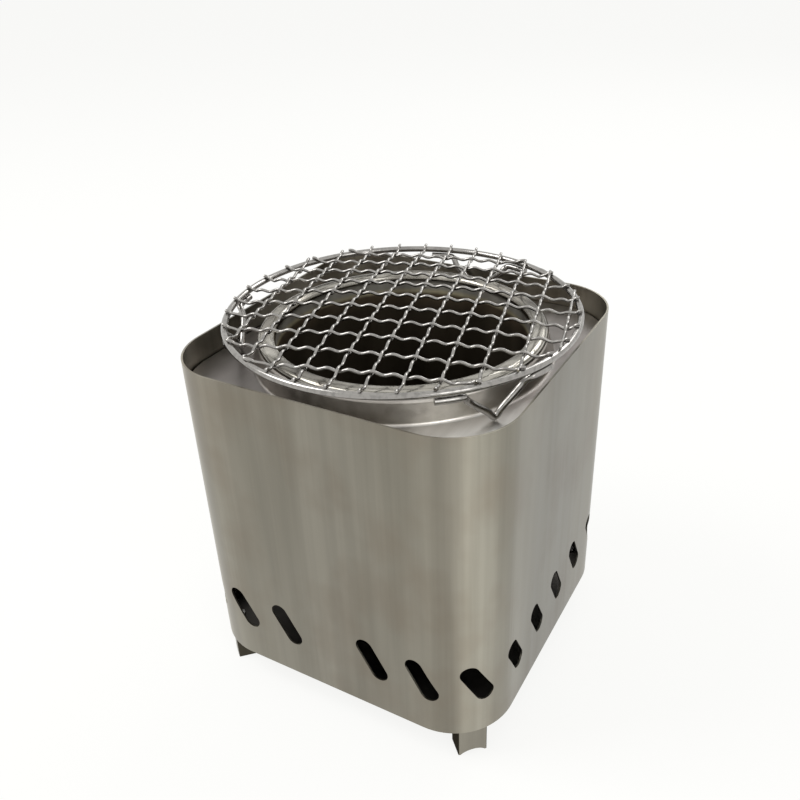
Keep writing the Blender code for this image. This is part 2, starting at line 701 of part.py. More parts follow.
def leg_route(azimuth):
    """A wire that lies under the rim, drops to the plate in a V and comes up to the rim again."""
    rounding = LEG_TIP_ROUNDING / (LEG_TOP - LEG_TIP)
    half = [(LEG_HALF_SPAN + LEG_END_SPAN, RIM_RADIUS, 0.0),
            (LEG_HALF_SPAN + LEG_END_SPAN / 2, RIM_RADIUS, 0.0),
            (LEG_HALF_SPAN + LEG_BEND, RIM_RADIUS, 0.0),
            (LEG_HALF_SPAN, (RIM_RADIUS + LEG_ARM_RADIUS) / 2, rounding * 0.6),
            (LEG_HALF_SPAN - LEG_BEND, LEG_ARM_RADIUS, rounding * 2.2),
            (LEG_TIP_BEND * 1.6, LEG_TIP_RADIUS, 1 - rounding * 1.5),
            (LEG_TIP_BEND * 0.8, LEG_TIP_RADIUS, 1 - rounding * 0.4)]
    stations = [(-turn, radius, share) for turn, radius, share in half] + [(0.0, LEG_TIP_RADIUS, 1.0)]
    stations += reversed(half)
    route = []
    for turn, radius, share in stations:
        angle = math.radians(azimuth) + turn
        height = LEG_TOP + (LEG_TIP - LEG_TOP) * share
        route.append(Vector((radius * math.cos(angle), radius * math.sin(angle), height)))
    return route


def make_legs():
    for name, azimuth in LEG_AZIMUTHS.items():
        PARTS.objects.link(wire_curve(name, [leg_route(azimuth)], LEG_WIRE_RADIUS, 2))


clear_scene()
PARTS = new_collection(COLLECTION)
CUTTERS = new_collection("cutters")
BRUSHED = make_material("brushed_casing_steel", (0.42, 0.40, 0.36), 0.34, 1.0)
INNER_STEEL = make_material("inner_sheet_steel", (0.38, 0.37, 0.35), 0.40, 1.0)
DRUM_STEEL = make_material("drum_steel", (0.45, 0.43, 0.40), 0.22, 1.0)
GRATE_STEEL = make_material("grate_steel", (0.20, 0.19, 0.18), 0.50, 1.0)
RIVET_STEEL = make_material("rivet_steel", (0.50, 0.49, 0.47), 0.30, 1.0)
WIRE_STEEL = make_material("grill_wire_steel", (0.55, 0.53, 0.50), 0.20, 1.0)

make_casing()
make_seam_strip()
for foot_name, foot_angle in FOOT_NAMES.items():
    make_foot(foot_name, foot_angle)
make_base_tray()
make_rivets()
make_top_plate()
make_drum()
make_drum_floor()
make_ash_pan()
make_grate()
for leg_name, leg_angle in GRATE_LEGS.items():
    make_grate_leg(leg_name, leg_angle)
make_rim()
make_net()
make_legs()
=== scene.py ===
"""A tabletop fire pit of brushed steel sheet with a crimped wire grill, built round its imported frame."""
import math

import bmesh
import bpy
from mathutils import Matrix, Vector


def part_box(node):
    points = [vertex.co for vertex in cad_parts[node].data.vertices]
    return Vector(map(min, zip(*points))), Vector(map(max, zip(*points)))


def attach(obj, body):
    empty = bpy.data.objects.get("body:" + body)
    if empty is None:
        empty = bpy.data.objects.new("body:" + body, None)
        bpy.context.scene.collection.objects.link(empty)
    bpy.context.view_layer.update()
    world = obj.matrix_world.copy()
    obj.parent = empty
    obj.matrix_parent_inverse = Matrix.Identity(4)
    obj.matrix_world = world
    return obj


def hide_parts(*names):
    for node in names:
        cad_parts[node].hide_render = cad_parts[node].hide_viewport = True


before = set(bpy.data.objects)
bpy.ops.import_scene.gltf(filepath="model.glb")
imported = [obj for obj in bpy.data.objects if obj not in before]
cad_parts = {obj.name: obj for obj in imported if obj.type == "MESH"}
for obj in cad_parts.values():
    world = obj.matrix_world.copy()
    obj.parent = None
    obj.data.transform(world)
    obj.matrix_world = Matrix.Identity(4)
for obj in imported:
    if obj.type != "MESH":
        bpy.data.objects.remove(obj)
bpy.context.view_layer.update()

# Sheet sizes, in metres
GAP = 0.0003
CASING_SHEET = 0.0008
CASING_CORNER_RADIUS = 0.0285
PLATE_SHEET = 0.0008
DRUM_SHEET = 0.0008
FOOT_SHEET = 0.0010
GRATE_SHEET = 0.0012
EDGE_ROUNDING = 0.00016
SAME_LEVEL = 0.00001
UPRIGHT_RISE = 0.001

# Slanted air slots
SLOTS_EACH_WAY = 11
SLOT_PITCH = 0.0240
SLOT_SEAM_GAP = 0.0446
SLOT_LENGTH = 0.0220
SLOT_WIDTH = 0.0084
SLOT_TILT = math.radians(30.0)
SLOT_CENTRE_HEIGHT = 0.0282

# Top plate and collar
CHANNEL_WIDTH = 0.0105
COLLAR_TAPER = 0.0016
COLLAR_FILLET = 0.0016
COLLAR_SHOULDER = 0.0022
COLLAR_LEDGE = 0.0038
PLATE_DEPTH = 0.0112
PLATE_EDGE_RADIUS = 0.0010

# Fire drum and what stands in it
DRUM_INSET = 0.0096
DRUM_LIP_ROLL = 0.0024
DRUM_LIP_WIDTH = 0.0076
DRUM_HEM = 0.004
MOUTH_DEPTH = 0.0095
LOWER_HOLES = 10
LOWER_HOLE_RADIUS = 0.0032
LOWER_HOLE_LIFT = 0.0155
DRUM_STEPS = 40
FLOOR_HOLES = 8
FLOOR_HOLE_RADIUS = 0.0030
FLOOR_HOLE_INSET = 0.0069
PAN_SHEET = 0.0008
PAN_CORNER = 0.0025
PAN_BEAD = 0.0012
GRATE_HOLE_RADIUS = 0.0028
GRATE_HOLE_PITCH = 0.0125
GRATE_HOLE_RINGS = 3

# Feet, base tray and rivets
FOOT_WIDTH = 0.0130
FOOT_DEPTH = 0.0095
FOOT_ARCH_HEIGHT = 0.0027
FOOT_ARCH_TOE = 0.0009
FOOT_OUTER_BEND = 0.0007
FOOT_INNER_BEND = 0.0003
BASE_SHEET = 0.0008
FOOT_ANGLES = {"foot_front": -45.0, "foot_right": 45.0, "foot_back": 135.0, "foot_left": -135.0}

# Grill
RIM_WIRE_RADIUS = 0.0014
WELD_AZIMUTH = math.radians(60)
WELD_REACH = 0.0019
WELD_SWELL = 1.12
NET_WIRE_RADIUS = 0.00066
NET_CRIMP = 0.00071
QUICK_SHARE = 0.8
NET_STEPS_PER_PITCH = 15
NET_MARGIN = 0.00325
NET_DOME = 0.0035
NET_TURN = math.radians(14.2)
ACROSS_PITCH = 0.0135
ACROSS_OFFSET = 0.0074
ALONG_PITCH = 0.0130
ALONG_OFFSET = 0.0051
HOOK_REACH = RIM_WIRE_RADIUS + NET_WIRE_RADIUS + 0.00012
LEG_WIRE_RADIUS = 0.0014
LEG_AZIMUTHS = {"grill_leg_front": -32.0, "grill_leg_left": -152.0, "grill_leg_back": 88.0}
LEG_HALF_SPAN = math.radians(10.6)
LEG_END_SPAN = math.radians(9.2)
LEG_BEND = math.radians(1.2)
LEG_CLEARANCE = 0.0006
LEG_LEAN = 0.0008
LEG_TIP_BEND = math.radians(1.3)
LEG_TIP_ROUNDING = 0.0018

# Levels and widths taken from the frame
CASING_LOW, CASING_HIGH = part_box("outer_casing")
PLATE_LOW, PLATE_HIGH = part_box("top_plate")
DRUM_LOW, DRUM_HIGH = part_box("fire_drum")
RIM_LOW, RIM_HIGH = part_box("grill_rim")
HALF_SIDE = CASING_HIGH.x
INNER_HALF_SIDE = PLATE_HIGH.x
INNER_CORNER_RADIUS = CASING_CORNER_RADIUS - CASING_SHEET - GAP
PLATE_TOP = CASING_HIGH.z - PLATE_DEPTH
COLLAR_TOP = PLATE_HIGH.z
COLLAR_BASE_RADIUS = HALF_SIDE - CHANNEL_WIDTH
DRUM_RADIUS = COLLAR_BASE_RADIUS - DRUM_INSET
GRILL_LEVEL = (RIM_LOW.z + RIM_HIGH.z) / 2
RIM_RADIUS = RIM_HIGH.x - RIM_WIRE_RADIUS
LEG_LOW, LEG_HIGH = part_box("grill_leg_front")
CORNER_CENTRE = (HALF_SIDE - CASING_CORNER_RADIUS) * math.sqrt(2)
FOOT_FRONT = CORNER_CENTRE + INNER_CORNER_RADIUS

# Camera, at the photograph's viewing angle
CAMERA_PLACE = Vector((0.16897, -0.28701, CASING_LOW.z + 0.30289))
CAMERA_AZIMUTH = math.radians(30.92)
CAMERA_ELEVATION = math.radians(29.853)
CAMERA_ROLL = math.radians(-2.515)
CAMERA_LENS_MM = 38.025
SENSOR_MM = 36.0

# Lamps: name, place, width and height in metres, and watts
LAMPS = [("key_lamp", (-0.9, -0.5, 1.3), (0.7, 0.7), 11.0),
         ("fill_lamp", (1.2, -0.7, 0.9), (0.6, 0.9), 4.0),
         ("back_lamp", (0.2, 1.2, 1.1), (0.9, 0.4), 6.0)]
BACKDROP_COLOUR = (0.98, 0.98, 0.965)
WORLD_FILL = 0.50
FLOOR_GLOW = 0.87
FLOOR_SIDE = 14


# Working helpers

def deselect_all():
    bpy.ops.object.select_all(action="DESELECT")


def take(name):
    """Name the object that an operator has just added, and keep it as the active one."""
    piece = bpy.context.object
    piece.name = name
    piece.data.name = name
    return piece


def make_active(piece):
    deselect_all()
    piece.select_set(True)
    bpy.context.view_layer.objects.active = piece


def apply_place(piece):
    make_active(piece)
    bpy.ops.object.transform_apply(location=True, rotation=True, scale=True)


def edit(piece):
    make_active(piece)
    bpy.ops.object.mode_set(mode="EDIT")


def leave_edit():
    bpy.ops.object.mode_set(mode="OBJECT")


def choose(piece, kind, wanted):
    """In edit mode, select the vertices, edges or faces that wanted accepts."""
    bpy.ops.mesh.select_mode(type=kind)
    bpy.ops.mesh.select_all(action="DESELECT")
    bm = bmesh.from_edit_mesh(piece.data)
    items = {"VERT": bm.verts, "EDGE": bm.edges, "FACE": bm.faces}[kind]
    for item in items:
        if wanted(item):
            item.select_set(True)
    bmesh.update_edit_mesh(piece.data)


def is_upright(edge):
    return abs(edge.verts[0].co.z - edge.verts[1].co.z) > UPRIGHT_RISE


def apply_modifier(piece, kind, **settings):
    make_active(piece)
    change = piece.modifiers.new(kind.lower(), kind)
    for key, value in settings.items():
        setattr(change, key, value)
    bpy.ops.object.modifier_apply(modifier=change.name)


def thicken(piece, thickness, offset=-1.0):
    apply_modifier(piece, "SOLIDIFY", thickness=thickness, offset=offset, use_even_offset=True)


def round_edges(piece, width=EDGE_ROUNDING, segments=2, angle=50.0):
    apply_modifier(piece, "BEVEL", width=width, segments=segments, limit_method="ANGLE",
                   angle_limit=math.radians(angle), use_clamp_overlap=True)


def cut_with(piece, cutter, check_itself=False):
    apply_modifier(piece, "BOOLEAN", object=cutter, operation="DIFFERENCE", solver="EXACT",
                   use_self=check_itself)
    bpy.data.objects.remove(cutter, do_unlink=True)


def smooth(piece, angle=32.0):
    make_active(piece)
    bpy.ops.object.shade_smooth_by_angle(angle=math.radians(angle))


def even_flats(piece):
    """Shade each flat as flat, right up to the bends beside it."""
    apply_modifier(piece, "WEIGHTED_NORMAL", keep_sharp=True)


def face_outwards(piece):
    edit(piece)
    bpy.ops.mesh.select_all(action="SELECT")
    bpy.ops.mesh.remove_doubles(threshold=0.000005)
    bpy.ops.mesh.normals_make_consistent(inside=False)
    leave_edit()


def finish_piece(piece, body, material, *nodes):
    """Give a piece its material, tie it to its body and let it stand for its nodes."""
    piece.data.materials.clear()
    piece.data.materials.append(material)
    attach(piece, body)
    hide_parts(*nodes)
    return piece


def join(pieces, name):
    deselect_all()
    for piece in pieces:
        piece.select_set(True)
    bpy.context.view_layer.objects.active = pieces[0]
    bpy.ops.object.join()
    return take(name)


def arc(radius, height, rounding, start, end, steps=8):
    """Points of a round bend in a profile, from one angle to another in degrees."""
    angles = [math.radians(start + (end - start) * step / steps) for step in range(steps + 1)]
    return [(radius + rounding * math.cos(angle), height + rounding * math.sin(angle)) for angle in angles]


def draw_ring_out(profile):
    """In edit mode, extrude the selected ring through the points (radius, height) of a profile."""
    for (radius, height), (next_radius, next_height) in zip(profile, profile[1:]):
        bpy.ops.mesh.extrude_region_move(TRANSFORM_OT_translate={"value": (0, 0, next_height - height)})
        share = next_radius / radius
        bpy.ops.transform.resize(value=(share, share, 1), center_override=(0, 0, next_height))


def turned(name, profile, steps=160, close_end=False):
    """A ring extruded and resized along a profile, as on a lathe."""
    deselect_all()
    radius, height = profile[0]
    bpy.ops.mesh.primitive_circle_add(vertices=steps, radius=radius, location=(0, 0, height))
    piece = take(name)
    apply_place(piece)
    edit(piece)
    bpy.ops.mesh.select_mode(type="EDGE")
    bpy.ops.mesh.select_all(action="SELECT")
    draw_ring_out(profile)
    if close_end:
        bpy.ops.mesh.extrude_region_move()
        bpy.ops.mesh.merge(type="CENTER")
    leave_edit()
    return piece


def box(name, low, high):
    deselect_all()
    middle = (Vector(low) + Vector(high)) / 2
    bpy.ops.mesh.primitive_cube_add(size=1, location=middle)
    piece = take(name)
    piece.scale = Vector(high) - Vector(low)
    apply_place(piece)
    return piece


def bar_of_holes(places, radius, depth, sides=24):
    """Round cutters, one at each matrix."""
    cutters = []
    for place in places:
        deselect_all()
        bpy.ops.mesh.primitive_cylinder_add(vertices=sides, radius=radius, depth=depth)
        cutter = take("hole")
        cutter.matrix_world = place
        apply_place(cutter)
        cutters.append(cutter)
    return join(cutters, "holes")


def ring_places(count, ring, height, lying, start=0.0):
    places = []
    for number in range(count):
        place = Matrix.Rotation(start + math.tau * number / count, 4, "Z")
        place = place @ Matrix.Translation((ring, 0, height))
        if lying:
            place = place @ Matrix.Rotation(math.pi / 2, 4, "Y")
        places.append(place)
    return places


# Materials

def new_material(name, colour, roughness, metallic=1.0):
    material = bpy.data.materials.new(name)
    material.use_nodes = True
    nodes = material.node_tree.nodes
    shader = nodes["Principled BSDF"]
    shader.inputs["Base Color"].default_value = (*colour, 1.0)
    shader.inputs["Roughness"].default_value = roughness
    shader.inputs["Metallic"].default_value = metallic
    return material, nodes, material.node_tree.links, shader


def pattern(nodes, links, scale, stretch=(1, 1, 1), detail=3.0, roughness=0.55):
    """Noise on object coordinates, stretched along a grain."""
    place = nodes.new("ShaderNodeTexCoord")
    mapping = nodes.new("ShaderNodeMapping")
    mapping.inputs["Scale"].default_value = stretch
    noise = nodes.new("ShaderNodeTexNoise")
    noise.inputs["Scale"].default_value = scale
    noise.inputs["Detail"].default_value = detail
    noise.inputs["Roughness"].default_value = roughness
    links.new(place.outputs["Object"], mapping.inputs["Vector"])
    links.new(mapping.outputs["Vector"], noise.inputs["Vector"])
    return noise


def ramp(nodes, links, source, stops):
    """A colour ramp with stops of (position, colour)."""
    node = nodes.new("ShaderNodeValToRGB")
    elements = node.color_ramp.elements
    elements[0].position, elements[0].color = stops[0][0], (*stops[0][1], 1.0)
    elements[1].position, elements[1].color = stops[-1][0], (*stops[-1][1], 1.0)
    for position, colour in stops[1:-1]:
        elements.new(position).color = (*colour, 1.0)
    links.new(source, node.inputs["Fac"])
    return node


def mix_colours(nodes, links, factor, first, second, blend="MIX"):
    node = nodes.new("ShaderNodeMix")
    node.data_type = "RGBA"
    node.blend_type = blend
    for value, socket in ((factor, "Factor"), (first, "A"), (second, "B")):
        index = {"Factor": 0, "A": 6, "B": 7}[socket]
        if isinstance(value, bpy.types.NodeSocket):
            links.new(value, node.inputs[index])
        elif index == 0:
            node.inputs[index].default_value = value
        else:
            node.inputs[index].default_value = (*value, 1.0)
    return node.outputs[2]


def map_range(nodes, links, source, low, high, to_low, to_high):
    node = nodes.new("ShaderNodeMapRange")
    node.inputs["From Min"].default_value = low
    node.inputs["From Max"].default_value = high
    node.inputs["To Min"].default_value = to_low
    node.inputs["To Max"].default_value = to_high
    links.new(source, node.inputs["Value"])
    return node.outputs["Result"]


def add_bump(nodes, links, shader, source, strength, distance):
    bump = nodes.new("ShaderNodeBump")
    bump.inputs["Strength"].default_value = strength
    bump.inputs["Distance"].default_value = distance
    links.new(source, bump.inputs["Height"])
    links.new(bump.outputs["Normal"], shader.inputs["Normal"])


def sheet_steel(name, dark, light, blotch, roughness, grain=(1, 1, 0.02), bands=34.0, blotch_share=0.35):
    """Rolled sheet: fine streaks along the grain, wide soft bands and dull blotches."""
    material, nodes, links, shader = new_material(name, light, roughness)
    streaks = pattern(nodes, links, 260.0, grain, 4.0, 0.6)
    broad = pattern(nodes, links, bands, (1, 1, 0.12), 2.0, 0.5)
    clouds = pattern(nodes, links, 30.0, (1, 1, 0.8), 3.0, 0.55)
    base = ramp(nodes, links, broad.outputs["Fac"], [(0.36, dark), (0.64, light)])
    fine = ramp(nodes, links, streaks.outputs["Fac"], [(0.30, grey(0.90)), (0.70, grey(1.06))])
    grained = mix_colours(nodes, links, 1.0, base.outputs["Color"], fine.outputs["Color"], "MULTIPLY")
    share = map_range(nodes, links, clouds.outputs["Fac"], 0.46, 0.70, 0.0, blotch_share)
    finish = mix_colours(nodes, links, share, grained, blotch)
    links.new(finish, shader.inputs["Base Color"])
    links.new(map_range(nodes, links, streaks.outputs["Fac"], 0.3, 0.7, roughness * 0.88, roughness * 1.12),
              shader.inputs["Roughness"])
    add_bump(nodes, links, shader, streaks.outputs["Fac"], 0.12, 0.00008)
    return material


def axis_value(nodes, links, combine):
    """A number from the object coordinates, made by the given steps of (operation, first, second)."""
    place = nodes.new("ShaderNodeTexCoord")
    split = nodes.new("ShaderNodeSeparateXYZ")
    links.new(place.outputs["Object"], split.inputs["Vector"])
    values = {axis: split.outputs[axis] for axis in "XYZ"}
    for number, (operation, *terms) in enumerate(combine):
        node = nodes.new("ShaderNodeMath")
        node.operation = operation
        for socket, term in zip(node.inputs, terms):
            if isinstance(term, str):
                links.new(values[term], socket)
            else:
                socket.default_value = term
        values[f"step {number}"] = node.outputs[0]
    return values[f"step {len(combine) - 1}"]


# How much farther a point lies out along X than along Y, as steps for axis_value
FROM_DIAGONAL = [("ABSOLUTE", "X"), ("ABSOLUTE", "Y"), ("SUBTRACT", "step 0", "step 1")]


def grey(tone):
    return (tone, tone, tone)


def multiply_base(nodes, links, shader, factor):
    """Multiply what feeds the base colour by another colour."""
    source = shader.inputs["Base Color"].links[0].from_socket
    links.new(mix_colours(nodes, links, 1.0, source, factor, "MULTIPLY"), shader.inputs["Base Color"])


def paint_bend_reflections(material):
    """Fixed bright and dull stripes over the wall's bends, in place of a room's reflections."""
    nodes, links = material.node_tree.nodes, material.node_tree.links
    across = axis_value(nodes, links, FROM_DIAGONAL)
    place = map_range(nodes, links, across, -HALF_SIDE, HALF_SIDE, 0.0, 1.0)
    stripes = ramp(nodes, links, place, [(grade, (tone, tone * warmth, tone * warmth * warmth))
                                         for grade, tone, warmth in BEND_REFLECTION_STRIPES])
    multiply_base(nodes, links, nodes["Principled BSDF"], stripes.outputs["Color"])


def wire_steel(name, colour, roughness):
    """Drawn wire: nearly even, with faint dull spots."""
    material, nodes, links, shader = new_material(name, colour, roughness)
    spots = pattern(nodes, links, 420.0, (1, 1, 1), 2.0, 0.5)
    duller = tuple(channel * 0.78 for channel in colour)
    tone = ramp(nodes, links, spots.outputs["Fac"], [(0.38, duller), (0.56, colour)])
    links.new(tone.outputs["Color"], shader.inputs["Base Color"])
    links.new(map_range(nodes, links, spots.outputs["Fac"], 0.35, 0.65, roughness * 1.4, roughness * 0.8),
              shader.inputs["Roughness"])
    return material


def darken_folds(material):
    """A fixed darker tone on the sides of a foot, past its bends, in place of a room's reflections."""
    nodes, links = material.node_tree.nodes, material.node_tree.links
    sideways = [("ABSOLUTE", "step 2"), ("MULTIPLY", "step 3", math.sqrt(0.5))]
    aside = axis_value(nodes, links, FROM_DIAGONAL + sideways)
    place = map_range(nodes, links, aside, FOOT_WIDTH / 2 - FOOT_SHEET, FOOT_WIDTH / 2, 0.0, 1.0)
    tone = ramp(nodes, links, place, [(0.55, grey(1.0)), (0.85, (0.25, 0.24, 0.22))])
    multiply_base(nodes, links, nodes["Principled BSDF"], tone.outputs["Color"])
    links.new(tone.outputs["Color"], nodes["Principled BSDF"].inputs["Specular Tint"])


def brighten_collar(material):
    """A fixed brighter tone on the collar and the plate's front corner, in place of a room's reflections."""
    nodes, links = material.node_tree.nodes, material.node_tree.links
    shader = nodes["Principled BSDF"]
    height = axis_value(nodes, links, [("SUBTRACT", "Z", PLATE_TOP)])
    place = map_range(nodes, links, height, 0.0, COLLAR_FILLET * 2, 0.0, 1.0)
    brighter = ramp(nodes, links, place, [(0.02, grey(1.0)), (0.20, (2.2, 2.2, 2.15)),
                                          (0.45, (1.8, 1.8, 1.75))])
    multiply_base(nodes, links, shader, brighter.outputs["Color"])
    forward = axis_value(nodes, links, [("SUBTRACT", "X", "Y")])
    place = map_range(nodes, links, forward, HALF_SIDE * 1.1, HALF_SIDE * 1.6, 0.0, 1.0)
    corner = ramp(nodes, links, place, [(0.0, grey(1.0)), (1.0, (3.3, 3.5, 3.55))])
    multiply_base(nodes, links, shader, corner.outputs["Color"])


def paint_mouth_highlight_and_drum_shade(material):
    """A painted highlight band round the drum's mouth, standing in for a reflection, and painted shade in
    brown to black tones farther down the drum.
    """
    nodes, links = material.node_tree.nodes, material.node_tree.links
    shader = nodes["Principled BSDF"]
    depth = axis_value(nodes, links, [("SUBTRACT", DRUM_HIGH.z, "Z")])
    place = map_range(nodes, links, depth, 0.0, MOUTH_DEPTH * 2, 0.0, 1.0)
    tone = ramp(nodes, links, place, [(0.34, grey(1.0)), (0.44, (1.35, 1.28, 1.00)),
                                      (0.52, (0.34, 0.27, 0.20)), (0.90, (0.17, 0.145, 0.115))])
    multiply_base(nodes, links, shader, tone.outputs["Color"])
    links.new(map_range(nodes, links, depth, MOUTH_DEPTH * 0.25, MOUTH_DEPTH * 0.45, 0.20, 0.62),
              shader.inputs["Roughness"])


# Painted reflection stripes over a bend: place from the wall along X to the wall along Y, tone and warmth
BEND_REFLECTION_STRIPES = [(0.10, 0.94, 1.00), (0.24, 1.02, 1.00), (0.33, 1.10, 1.00), (0.37, 0.95, 0.99),
                (0.41, 0.97, 0.99), (0.47, 1.52, 1.00), (0.52, 1.52, 1.01), (0.60, 1.16, 1.01),
                (0.72, 0.96, 1.01), (0.90, 0.76, 1.02)]

# The casing and its feet are of the same steel: dark band, light band and blotch
OUTER_TONES = ((0.228, 0.213, 0.174), (0.282, 0.264, 0.219), (0.196, 0.162, 0.122))
OUTER_ROUGHNESS = 0.34

CASING_STEEL = sheet_steel("casing_steel", *OUTER_TONES, OUTER_ROUGHNESS, bands=44.0, blotch_share=0.5)
# Painted reflection stripes over the casing's bends
paint_bend_reflections(CASING_STEEL)
FOOT_STEEL = sheet_steel("foot_steel", *OUTER_TONES, OUTER_ROUGHNESS)
darken_folds(FOOT_STEEL)
PLATE_STEEL = sheet_steel("plate_steel", (0.165, 0.152, 0.142), (0.29, 0.27, 0.255),
                          (0.16, 0.138, 0.128), 0.40, grain=(1, 0.02, 1), bands=26.0)
brighten_collar(PLATE_STEEL)
DRUM_STEEL = sheet_steel("drum_steel", (0.17, 0.16, 0.14), (0.50, 0.48, 0.43), (0.16, 0.13, 0.10), 0.17)
# Painted highlight round the drum's mouth and painted shade farther down inside it
paint_mouth_highlight_and_drum_shade(DRUM_STEEL)
INNER_STEEL = sheet_steel("inner_steel", (0.10, 0.095, 0.085), (0.16, 0.15, 0.14), (0.07, 0.06, 0.05), 0.45)
GRATE_STEEL = sheet_steel("grate_steel", (0.07, 0.065, 0.06), (0.12, 0.11, 0.10), (0.05, 0.04, 0.035), 0.5)
RIVET_STEEL = wire_steel("rivet_steel", (0.45, 0.44, 0.42), 0.28)
WIRE_STEEL = wire_steel("grill_wire_steel", (0.35, 0.337, 0.320), 0.17)


# Casing

def casing_outline(distance):
    """Point, outward direction and running direction on the casing, measured from the seam."""
    half = HALF_SIDE - CASING_CORNER_RADIUS
    arc_length = CASING_CORNER_RADIUS * math.pi / 2
    wall = 2 * half
    distance = (distance + half) % (4 * (wall + arc_length))
    side = int(distance // (wall + arc_length))
    rest = distance - side * (wall + arc_length)
    turn = Matrix.Rotation(math.pi / 2 * side, 3, "Z")
    if rest <= wall:
        outward = Vector((0, -1, 0))
        point = Vector((rest - half, -HALF_SIDE, 0))
    else:
        angle = -math.pi / 2 + (rest - wall) / CASING_CORNER_RADIUS
        outward = Vector((math.cos(angle), math.sin(angle), 0))
        point = Vector((half, -half, 0)) + outward * CASING_CORNER_RADIUS
    outward = turn @ outward
    return turn @ point, outward, Vector((-outward.y, outward.x, 0))


def slot_cutters():
    """One bar with round ends for each slot, standing through the wall and leaning."""
    ways = [SLOT_SEAM_GAP / 2 + SLOT_PITCH * number for number in range(SLOTS_EACH_WAY)]
    cutters = []
    for distance in ways + [-way for way in ways]:
        point, outward, along = casing_outline(distance)
        point.z = CASING_LOW.z + SLOT_CENTRE_HEIGHT
        long_axis = Vector((0, 0, 1)) * math.cos(SLOT_TILT) - along * math.sin(SLOT_TILT)
        axes = Matrix((long_axis.cross(outward), long_axis, outward)).transposed().to_4x4()
        deselect_all()
        bpy.ops.mesh.primitive_cylinder_add(vertices=40, radius=SLOT_WIDTH / 2, depth=CASING_SHEET * 8,
                                            rotation=(0, 0, math.pi / 40))
        cutter = take("slot")
        apply_place(cutter)
        edit(cutter)
        for side in (-1, 1):
            choose(cutter, "VERT", lambda vert: vert.co.y * side > 0)
            bpy.ops.transform.translate(value=(0, side * (SLOT_LENGTH - SLOT_WIDTH) / 2, 0))
        leave_edit()
        cutter.matrix_world = Matrix.Translation(point) @ axes
        apply_place(cutter)
        cutters.append(cutter)
    return join(cutters, "slots")


def rounded_square_tube(name, low, high, radius, segments=20):
    """An open tube of sheet, square with round corners."""
    tube = box(name, low, high)
    edit(tube)
    choose(tube, "EDGE", is_upright)
    bpy.ops.mesh.bevel(offset=radius, segments=segments, affect="EDGES")
    choose(tube, "FACE", lambda face: abs(face.normal.z) > 0.5)
    bpy.ops.mesh.delete(type="ONLY_FACE")
    leave_edit()
    return tube


def build_casing():
    casing = rounded_square_tube("casing_shell", CASING_LOW, CASING_HIGH, CASING_CORNER_RADIUS)
    thicken(casing, CASING_SHEET)
    cut_with(casing, slot_cutters())
    round_edges(casing)
    smooth(casing)
    even_flats(casing)
    finish_piece(casing, "casing", CASING_STEEL, "outer_casing")


def build_seam_strip():
    low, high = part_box("seam_strip")
    strip = box("seam_backing_strip", low, high)
    edit(strip)
    choose(strip, "FACE", lambda face: face.normal.y > 0.5)
    bpy.ops.mesh.inset(thickness=0.0016, depth=0)
    bpy.ops.transform.translate(value=(0, -high.y + low.y + DRUM_SHEET * 0.6, 0))
    leave_edit()
    round_edges(strip)
    smooth(strip)
    finish_piece(strip, "casing", INNER_STEEL, "seam_strip")


# Top plate

def build_top_plate():
    """The collar is drawn out ring by ring and joined to the rounded square of the plate."""
    top = COLLAR_BASE_RADIUS - COLLAR_TAPER - COLLAR_SHOULDER
    profile = [(top - COLLAR_LEDGE, COLLAR_TOP)]
    profile += arc(top, COLLAR_TOP - COLLAR_SHOULDER, COLLAR_SHOULDER, 90, 0)
    profile += arc(COLLAR_BASE_RADIUS + COLLAR_FILLET, PLATE_TOP + COLLAR_FILLET, COLLAR_FILLET, 180, 270)
    plate = turned("top_plate_sheet", profile)
    edit(plate)
    bpy.ops.mesh.primitive_plane_add(size=2 * INNER_HALF_SIDE, location=(0, 0, PLATE_TOP - PLATE_EDGE_RADIUS))
    corner = INNER_HALF_SIDE * 1.2
    choose(plate, "VERT", lambda vert: vert.co.xy.length > corner)
    bpy.ops.mesh.bevel(offset=INNER_CORNER_RADIUS, segments=39, affect="VERTICES")
    choose(plate, "FACE", lambda face: len(face.verts) > 4)
    bpy.ops.mesh.delete(type="ONLY_FACE")
    edge_level = PLATE_TOP - PLATE_EDGE_RADIUS
    outside = COLLAR_BASE_RADIUS + COLLAR_FILLET + 0.001

    def on_outline(edge):
        return all(abs(vert.co.z - edge_level) < SAME_LEVEL and vert.co.xy.length > outside
                   for vert in edge.verts)

    choose(plate, "EDGE", on_outline)
    bpy.ops.mesh.extrude_region_move(TRANSFORM_OT_translate={"value": (0, 0, PLATE_LOW.z - edge_level)})
    choose(plate, "EDGE", on_outline)
    for angle in (30, 60, 90):
        turn, last = math.radians(angle), math.radians(angle - 30)
        rise = PLATE_EDGE_RADIUS * (math.sin(turn) - math.sin(last))
        inward = PLATE_EDGE_RADIUS * (math.cos(last) - math.cos(turn)) / INNER_HALF_SIDE
        bpy.ops.mesh.extrude_region_move(TRANSFORM_OT_translate={"value": (0, 0, rise)})
        bpy.ops.transform.resize(value=(1 - inward, 1 - inward, 1), center_override=(0, 0, PLATE_TOP))

    def open_at_plate(edge):
        is_level = all(abs(vert.co.z - PLATE_TOP) < SAME_LEVEL for vert in edge.verts)
        return is_level and len(edge.link_faces) == 1

    choose(plate, "EDGE", open_at_plate)
    bpy.ops.mesh.fill(use_beauty=True)
    leave_edit()
    face_outwards(plate)
    turn_upwards(plate)
    thicken(plate, PLATE_SHEET)
    round_edges(plate, angle=70.0)
    smooth(plate)
    even_flats(plate)
    finish_piece(plate, "casing", PLATE_STEEL, "top_plate")


def turn_upwards(piece):
    """Flip an open sheet whose wide faces look down."""
    level = max(piece.data.polygons, key=lambda face: abs(face.normal.z) * face.area)
    if level.normal.z < 0:
        edit(piece)
        bpy.ops.mesh.select_all(action="SELECT")
        bpy.ops.mesh.flip_normals()
        leave_edit()


# Fire drum

